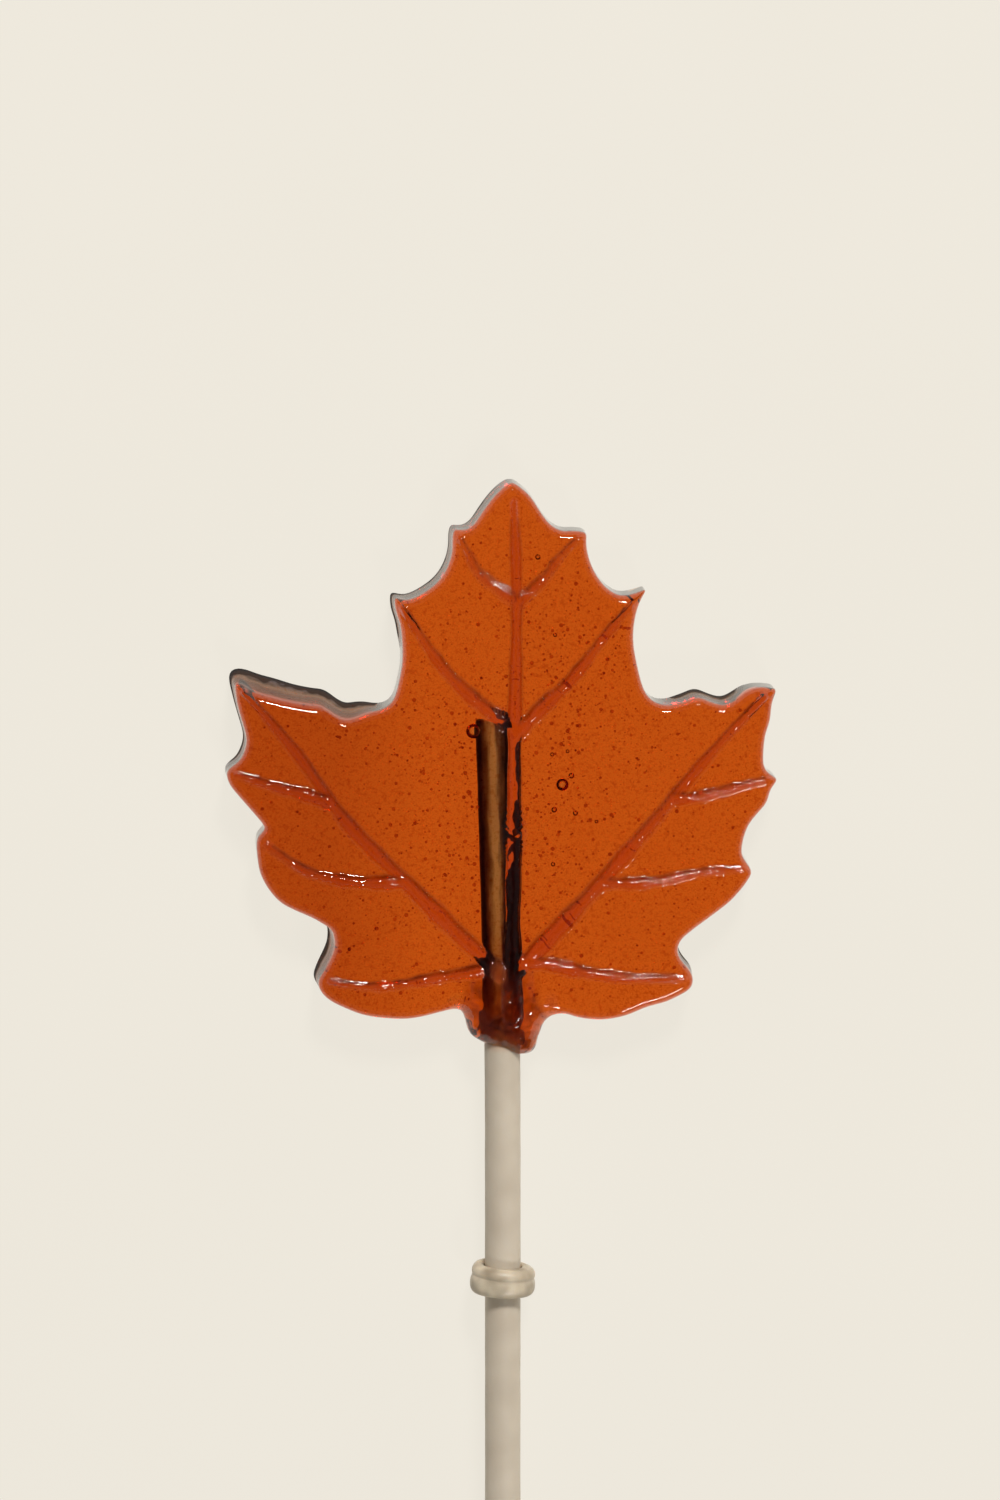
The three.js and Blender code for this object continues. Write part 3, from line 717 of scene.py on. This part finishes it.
def add_mottling(nodes, size, contrast):
    """The mottling group placed in a material with its own values."""
    node = nodes.new("ShaderNodeGroup")
    node.node_tree = mottling
    node.inputs["Size mm"].default_value = size
    node.inputs["Contrast"].default_value = contrast
    return node


def add_ramp(nodes, links, source, stops):
    """A colour ramp over the source, from (place, (r, g, b)) stops in linear light."""
    ramp = nodes.new("ShaderNodeValToRGB")
    elements = ramp.color_ramp.elements
    while len(elements) < len(stops):
        elements.new(0.5)
    for element, (place, colour) in zip(elements, stops):
        element.position = place
        element.color = (*colour, 1.0)
    links.new(source, ramp.inputs["Fac"])
    return ramp.outputs["Color"]


def add_range(nodes, links, source, low, high, to_low=0.0, to_high=1.0):
    """Carries low..high of the source over to to_low..to_high, clamped."""
    node = nodes.new("ShaderNodeMapRange")
    for key, value in (("From Min", low), ("From Max", high), ("To Min", to_low), ("To Max", to_high)):
        node.inputs[key].default_value = value
    links.new(source, node.inputs["Value"])
    return node.outputs["Result"]


def add_mix(nodes, links, factor, first, second):
    """Mix of two colours, each a socket or an (r, g, b)."""
    node = nodes.new("ShaderNodeMix")
    node.data_type = "RGBA"
    links.new(factor, node.inputs["Factor"])
    for key, colour in ((6, first), (7, second)):
        if isinstance(colour, tuple):
            node.inputs[key].default_value = (*colour, 1.0)
        else:
            links.new(colour, node.inputs[key])
    return node.outputs[2]


def add_tint(nodes, links, factor, first, second):
    """A colour socket times a second colour, which is a socket or an (r, g, b), by the share that
    factor gives, a socket or a number."""
    node = nodes.new("ShaderNodeMix")
    node.data_type, node.blend_type = "RGBA", "MULTIPLY"
    if isinstance(factor, (int, float)):
        node.inputs["Factor"].default_value = factor
    else:
        links.new(factor, node.inputs["Factor"])
    links.new(first, node.inputs[6])
    if isinstance(second, tuple):
        node.inputs[7].default_value = (*second, 1.0)
    else:
        links.new(second, node.inputs[7])
    return node.outputs[2]


def add_attribute(nodes, key):
    """A number kept at each point of the mesh."""
    node = nodes.new("ShaderNodeAttribute")
    node.attribute_name = key
    return node.outputs["Fac"]


def add_math(nodes, links, operation, *values):
    """Arithmetic on sockets and numbers."""
    node = nodes.new("ShaderNodeMath")
    node.operation = operation
    for socket, value in zip(node.inputs, values):
        if isinstance(value, (int, float)):
            socket.default_value = value
        else:
            links.new(value, socket)
    return node.outputs[0]


def add_bump(nodes, links, shader, height, distance_mm, strength=1.0):
    """Relief of that depth from a height mask."""
    bump = nodes.new("ShaderNodeBump")
    bump.inputs["Distance"].default_value = distance_mm * MM
    bump.inputs["Strength"].default_value = strength
    links.new(height, bump.inputs["Height"])
    links.new(bump.outputs["Normal"], shader.inputs["Normal"])


# %% [markdown]
# ## Amber sugar
# Boiled sugar is a clear glass whose colour comes from its depth: a thin edge is pale and a thick part
# is a deep orange. A coloured surface would be the same on both. So the depth absorbs light, most of
# all the blue. The rest is painted on the skin and isn't worked out by light: smears, redder veins and
# dark mottled lumps, and painted light and shade too: a dark line of shade beside each vein, a shade
# over the left side, and the sloping wall's grey reflection and black shade. They were matched to one
# view from above, and from other sides can be in the wrong place.

# %% Amber sugar
SUGAR_TINT = (0.933, 0.588, 0.075)
SUGAR_DENSITY = 820.0


def sugar_colour(nodes, links, mottle, grain, lumps, marks):
    """Tint of the skin: nearly clear and a little grainy, redder on the veins, darker on the left as
    painted shade, a painted dark red line of shade in the creases, dark and mottled on the stalk, and on
    the wall first a painted grey reflection and then nearly black painted shade. marks holds the numbers
    kept at the points of the mesh."""
    colour = add_mix(nodes, links, mottle.outputs["Mask"], (1.0, 0.99, 0.97), (0.97, 0.91, 0.85))
    for noise, low, smudge in ((grain, 0.36, (0.80, 0.62, 0.50)), (mottle, 0.35, (0.74, 0.52, 0.38))):
        clear = add_range(nodes, links, noise.outputs["Fine"], low, low + 0.09)
        colour = add_mix(nodes, links, clear, smudge, colour)
    on_ridge = add_math(nodes, links, "MULTIPLY", marks["ridge"], 0.8)
    colour = add_mix(nodes, links, on_ridge, colour, (0.68, 0.38, 0.32))
    # Painted shade: the sugar is darker towards its left side, standing in for weaker light there.
    place, split = nodes.new("ShaderNodeTexCoord"), nodes.new("ShaderNodeSeparateXYZ")
    links.new(place.outputs["Object"], split.inputs[0])
    left_shade = add_range(nodes, links, split.outputs["X"], -0.008, -0.019)
    colour = add_tint(nodes, links, left_shade, colour, (0.80, 0.72, 0.80))
    # Painted shade: a dark red line beside each vein.
    colour = add_mix(nodes, links, marks["crease_shade"], colour, (0.035, 0.006, 0.002))
    # Dark brown mottled with gold on the lump round the stick.
    stalk_mottle = add_mix(nodes, links, lumps.outputs["Mask"], (0.11, 0.04, 0.014), (1.0, 0.74, 0.40))
    colour = add_mix(nodes, links, marks["stalk"], colour, stalk_mottle)
    # Painted reflection and shade on the sloping wall: first a grey band, then a nearly black one.
    wavering = add_math(nodes, links, "MULTIPLY_ADD", lumps.outputs["Mask"], 0.5, 0.75)
    wall_reflection_shade = add_ramp(nodes, links, add_math(nodes, links, "MULTIPLY", marks["wall"], wavering), [
        (0.0, (1.0, 1.0, 1.0)), (0.08, (0.17, 0.30, 0.80)), (0.30, (0.07, 0.11, 0.28)),
        (0.48, (0.22, 0.38, 1.00)), (0.66, (0.012, 0.010, 0.012)), (1.0, (0.012, 0.010, 0.012))])
    return add_tint(nodes, links, 1.0, colour, wall_reflection_shade)


def amber_sugar():
    """Clear glass of boiled sugar: its skin has faint smears and lumpy veins, and its depth is amber."""
    material, nodes, links, shader = new_material("amber_sugar")
    shader.inputs["Transmission Weight"].default_value = 1.0
    shader.inputs["IOR"].default_value = 1.5
    mottle, grain, lumps = (add_mottling(nodes, size, 2.2) for size in (4.0, 1.6, 1.5))
    marks = {key: add_attribute(nodes, key) for key in ("ridge", "crease_shade", "wall", "stalk")}
    links.new(sugar_colour(nodes, links, mottle, grain, lumps, marks), shader.inputs["Base Color"])
    polish = add_range(nodes, links, mottle.outputs["Mask"], 0, 1, 0.0, 0.03)
    frost = add_ramp(nodes, links, marks["wall"], [
        (0.0, (0, 0, 0)), (0.10, (0.2, 0.2, 0.2)), (0.50, (0.3, 0.3, 0.3)), (0.66, (1, 1, 1))])
    links.new(add_math(nodes, links, "MAXIMUM", polish, frost), shader.inputs["Roughness"])
    uneven = add_math(nodes, links, "MULTIPLY_ADD", marks["stalk"], 0.9, marks["ridge"])
    lumpy = add_math(nodes, links, "MULTIPLY", lumps.outputs["Mask"], uneven)
    relief = add_math(nodes, links, "MULTIPLY_ADD", mottle.outputs["Fine"], 0.02, lumpy)
    add_bump(nodes, links, shader, relief, 0.17, 1.0)
    depth = nodes.new("ShaderNodeVolumeAbsorption")
    depth.inputs["Color"].default_value = (*SUGAR_TINT, 1.0)
    depth.inputs["Density"].default_value = SUGAR_DENSITY
    links.new(depth.outputs["Volume"], nodes["Material Output"].inputs["Volume"])
    return material


# %% [markdown]
# ## The small bubbles' finish
# A real bubble is dark at its rim because light bends away there. A bead that hardly bends the light,
# but tints it red, gives much the same dot without the noise.

# %% Small bubbles' finish
def bubble_rim():
    """Dark red and see-through, a little different from bubble to bubble."""
    material, nodes, links, shader = new_material("bubble_rim")
    mottle = add_mottling(nodes, 1.5, 2.5)
    colour = add_mix(nodes, links, mottle.outputs["Mask"], (0.50, 0.22, 0.10), (0.78, 0.50, 0.32))
    links.new(colour, shader.inputs["Base Color"])
    shader.inputs["Transmission Weight"].default_value = 1.0
    shader.inputs["IOR"].default_value = 1.02
    shader.inputs["Roughness"].default_value = 0.15
    return material


# %% [markdown]
# ## Frosted plastic
# The stick is milky plastic. Inside the sweet its colour is painted shade, dark at its edges with a
# tan streak down the middle. One material does both, led by the two numbers kept at the stick's
# points. A little light scattered under its surface makes it milky.

# %% Frosted plastic
def frosted_plastic():
    """Milky plastic with faint marks outside. Inside the sweet it is painted brown as shade, darkest at its
    edges and with an olive tan streak down the middle."""
    material, nodes, links, shader = new_material("frosted_plastic")
    mottle = add_mottling(nodes, 3.5, 1.8)
    outside = add_mix(nodes, links, mottle.outputs["Mask"], (0.58, 0.50, 0.39), (0.67, 0.59, 0.47))
    across, depth = add_attribute(nodes, "across"), add_attribute(nodes, "depth")
    streak_place, streaks = nodes.new("ShaderNodeCombineXYZ"), nodes.new("ShaderNodeTexNoise")
    links.new(add_math(nodes, links, "MULTIPLY", across, 3.0), streak_place.inputs["X"])
    links.new(add_math(nodes, links, "MULTIPLY", depth, 0.22), streak_place.inputs["Y"])
    links.new(streak_place.outputs[0], streaks.inputs["Vector"])
    streaks.inputs["Scale"].default_value = 1.0
    streaks.inputs["Detail"].default_value = 4.0
    shifted = add_math(nodes, links, "MULTIPLY_ADD", streaks.outputs["Fac"], 0.7, -0.35)
    streaky = add_math(nodes, links, "ADD", across, shifted)
    # Painted shade: inside the sweet the stick is darkened, darkest at its edges, with a tan streak down
    # the middle and a reddish brown near the mouth.
    dark, brown, tan = (0.020, 0.006, 0.002), (0.22, 0.10, 0.035), (0.74, 0.46, 0.20)
    stick_shade_inside = add_ramp(nodes, links, add_range(nodes, links, streaky, -1, 1), [
        (0.0, dark), (0.10, dark), (0.24, brown), (0.38, tan), (0.50, tan), (0.60, brown),
        (0.74, dark), (1.0, dark)])
    in_stalk = add_range(nodes, links, depth, 3.0, 9.0, 0.75, 0.0)
    stick_shade_inside = add_mix(nodes, links, in_stalk, stick_shade_inside, (0.52, 0.19, 0.075))
    inside_sweet = add_range(nodes, links, depth, -0.4, 1.6)
    links.new(add_mix(nodes, links, inside_sweet, outside, stick_shade_inside), shader.inputs["Base Color"])
    rough = add_range(nodes, links, mottle.outputs["Fine"], 0.3, 0.7, 0.36, 0.55)
    links.new(rough, shader.inputs["Roughness"])
    add_bump(nodes, links, shader, mottle.outputs["Fine"], 0.03, 0.6)
    shader.inputs["Subsurface Weight"].default_value = 0.25
    shader.inputs["Subsurface Radius"].default_value = (0.0012, 0.0010, 0.0008)
    shader.inputs["Subsurface Scale"].default_value = 1.0
    return material


# %% [markdown]
# ## Soft elastic
# The ring is cream rubber, a little see-through. A cloudy glass would be closer to that, but light
# scattered under the surface is plainer, and does for a ring this small.

# %% Soft elastic
def soft_elastic():
    """Cream rubber that looks a little see-through, with browner clouds as if dirty."""
    material, nodes, links, shader = new_material("soft_elastic")
    mottle = add_mottling(nodes, 2.2, 2.6)
    colour = add_mix(nodes, links, mottle.outputs["Mask"], (0.36, 0.29, 0.20), (0.70, 0.61, 0.46))
    links.new(colour, shader.inputs["Base Color"])
    rough = add_range(nodes, links, mottle.outputs["Fine"], 0.3, 0.7, 0.28, 0.5)
    links.new(rough, shader.inputs["Roughness"])
    add_bump(nodes, links, shader, mottle.outputs["Fine"], 0.05, 0.6)
    shader.inputs["Subsurface Weight"].default_value = 0.4
    shader.inputs["Subsurface Radius"].default_value = (0.0016, 0.0012, 0.0008)
    shader.inputs["Subsurface Scale"].default_value = 1.0
    return material


# %% Give each piece its finish
sweet.data.materials.append(amber_sugar())
speck_piece.data.materials.append(bubble_rim())
stick.data.materials.append(frosted_plastic())
ring.data.materials.append(soft_elastic())
print("materials:", sorted(m.name for m in bpy.data.materials if m.users))

# %% [markdown]
# ## What each piece stands for
# The lollipop has no joints, so all its pieces ride on one body. The sweet, the stick and the ring
# each stand for their own solid, and the small bubbles go with the sweet.

# %% Tie the pieces to the model
for piece, node, slot in (
    (sweet, "candy_leaf", "amber_sugar"),
    (stick, "stick", "frosted_plastic"),
    (ring, "ring", "soft_elastic"),
):
    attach(piece, "root")
    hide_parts(node)
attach(speck_piece, "root")

# %% [markdown]
# ## Table
# The lollipop lies on a pale table. Clear sugar takes its colour from the light that comes up through
# it, and a path traced down through glass, off a table and up again is slow and noisy. So the table
# itself glows, like a light table, and its light crosses the sugar once. It is a choice for the
# picture, and the sugar's colour is set for it. On a table that only reflects, expect darker sugar.

# %% Table
TABLE_GLOW = 0.811
TABLE_TINT = (0.05, 0.0475, 0.0425)
TABLE_HALF_SIDE = 1.5
TABLE_TOP = -0.0001


def table():
    """A wide pale plane just under the sweet, with a barely visible cloudiness in its glow."""
    half, z = TABLE_HALF_SIDE, TABLE_TOP
    mesh = bpy.data.meshes.new("pale_table")
    corners = [(-half, -half, z), (half, -half, z), (half, half, z), (-half, half, z)]
    mesh.from_pydata(corners, [], [(0, 1, 2, 3)])
    piece = bpy.data.objects.new("pale_table", mesh)
    bpy.context.scene.collection.objects.link(piece)
    material, nodes, links, shader = new_material("pale_paper")
    mottle = add_mottling(nodes, 40.0, 1.0)
    colour = add_mix(nodes, links, mottle.outputs["Mask"], (0.98, 0.93, 0.825), (1.0, 0.95, 0.845))
    shader.inputs["Base Color"].default_value = (*TABLE_TINT, 1.0)
    links.new(colour, shader.inputs["Emission Color"])
    shader.inputs["Emission Strength"].default_value = TABLE_GLOW
    shader.inputs["Roughness"].default_value = 0.9
    shader.inputs["Specular IOR Level"].default_value = 0.1
    mesh.materials.append(material)
    return piece


table()


# %% [markdown]
# ## Light
# Glossy sugar shows every light as a reflection, so what the lights look like counts as much as where
# they stand. Two small square lamps do the work. The one at the picture's lower right shades the stick
# and the ring. The one beyond the tip makes short white glints on the veins that run across. A dim
# dome fills the rest. Were it bright, the glossy rim and veins would reflect it and turn pale. Only a
# narrow band at the horizon is bright, as a backdrop for views from low down.

# %% Lamps and dome
DOME_STRENGTH = 0.12
LAMP_AIM = (0, 0.03, 0)


def soft_light(name, place, size, power, colour):
    """A square lamp that looks at the leaf."""
    lamp = bpy.data.lights.new(name, "AREA")
    lamp.shape, lamp.size, lamp.energy, lamp.color = "SQUARE", size, power, colour
    holder = bpy.data.objects.new(name, lamp)
    bpy.context.scene.collection.objects.link(holder)
    holder.location = place
    aim = Vector(LAMP_AIM) - Vector(place)
    holder.rotation_euler = aim.to_track_quat("-Z", "Y").to_euler()


def studio_dome():
    """Soft light from all round, by the sine of the height over the horizon: a pale backdrop just at the
    horizon, a dimmer dome between about 20 and 60 degrees, and next to nothing overhead, where the
    camera is, so that the flat front reflects nothing bright."""
    world = bpy.data.worlds.new("studio")
    bpy.context.scene.world = world
    world.use_nodes = True
    nodes, links = world.node_tree.nodes, world.node_tree.links
    direction, split = nodes.new("ShaderNodeTexCoord"), nodes.new("ShaderNodeSeparateXYZ")
    links.new(direction.outputs["Generated"], split.inputs[0])
    colour = add_ramp(nodes, links, split.outputs["Z"], [
        (0.0, (6.0, 5.8, 5.5)), (0.04, (6.0, 5.8, 5.5)), (0.11, (0.16, 0.15, 0.14)),
        (0.36, (1.0, 0.985, 0.96)), (0.86, (1.0, 0.985, 0.96)), (0.965, (0.12, 0.12, 0.12))])
    links.new(colour, nodes["Background"].inputs["Color"])
    nodes["Background"].inputs["Strength"].default_value = DOME_STRENGTH


bpy.context.scene.view_settings.view_transform = "Standard"
studio_dome()
soft_light("low_right_light", (0.38, -0.82, 0.95), 0.22, 5.0, (1.0, 0.98, 0.95))
soft_light("glint_lamp", (0.12, 0.64, 0.62), 0.16, 6.8, (1.0, 0.97, 0.95))

# %% [markdown]
# ## Camera
# The camera looks straight down but for a few degrees. It stands a little beyond the tip and to the
# left, so that walls facing those ways show. Its three directions are worked out as vectors, since
# that is plainer than three angles, and make up its matrix.

# %% Camera
CAMERA_TARGET = np.array([-0.2116, 34.5, 6.3])
CAMERA_DISTANCE = 520.0
CAMERA_TIP_TILT = math.radians(6.5)
CAMERA_SIDE_TILT = math.radians(2.5)
PIXELS_PER_MM = 9.12
FRAME_HEIGHT_PX = 1500

sight = np.array([
    math.sin(CAMERA_SIDE_TILT) * math.cos(CAMERA_TIP_TILT),
    -math.sin(CAMERA_TIP_TILT),
    -math.cos(CAMERA_SIDE_TILT) * math.cos(CAMERA_TIP_TILT),
])
sight /= np.linalg.norm(sight)
right = np.cross(sight, [0, 1, 0])
right /= np.linalg.norm(right)
up = np.cross(right, sight)
camera_data = bpy.data.cameras.new("photo_camera")
camera_data.sensor_fit = "VERTICAL"
camera_data.sensor_height = 36.0
camera_data.lens = 36.0 * PIXELS_PER_MM * CAMERA_DISTANCE / FRAME_HEIGHT_PX
camera = bpy.data.objects.new("photo_camera", camera_data)
bpy.context.scene.collection.objects.link(camera)
camera.location = (CAMERA_TARGET - sight * CAMERA_DISTANCE) * MM
turn = np.column_stack([right, up, -sight])
camera.matrix_world = Matrix.Translation(camera.location) @ Matrix(turn.tolist()).to_4x4()
camera_data.clip_start, camera_data.clip_end = 0.01, 10.0
bpy.context.scene.camera = camera
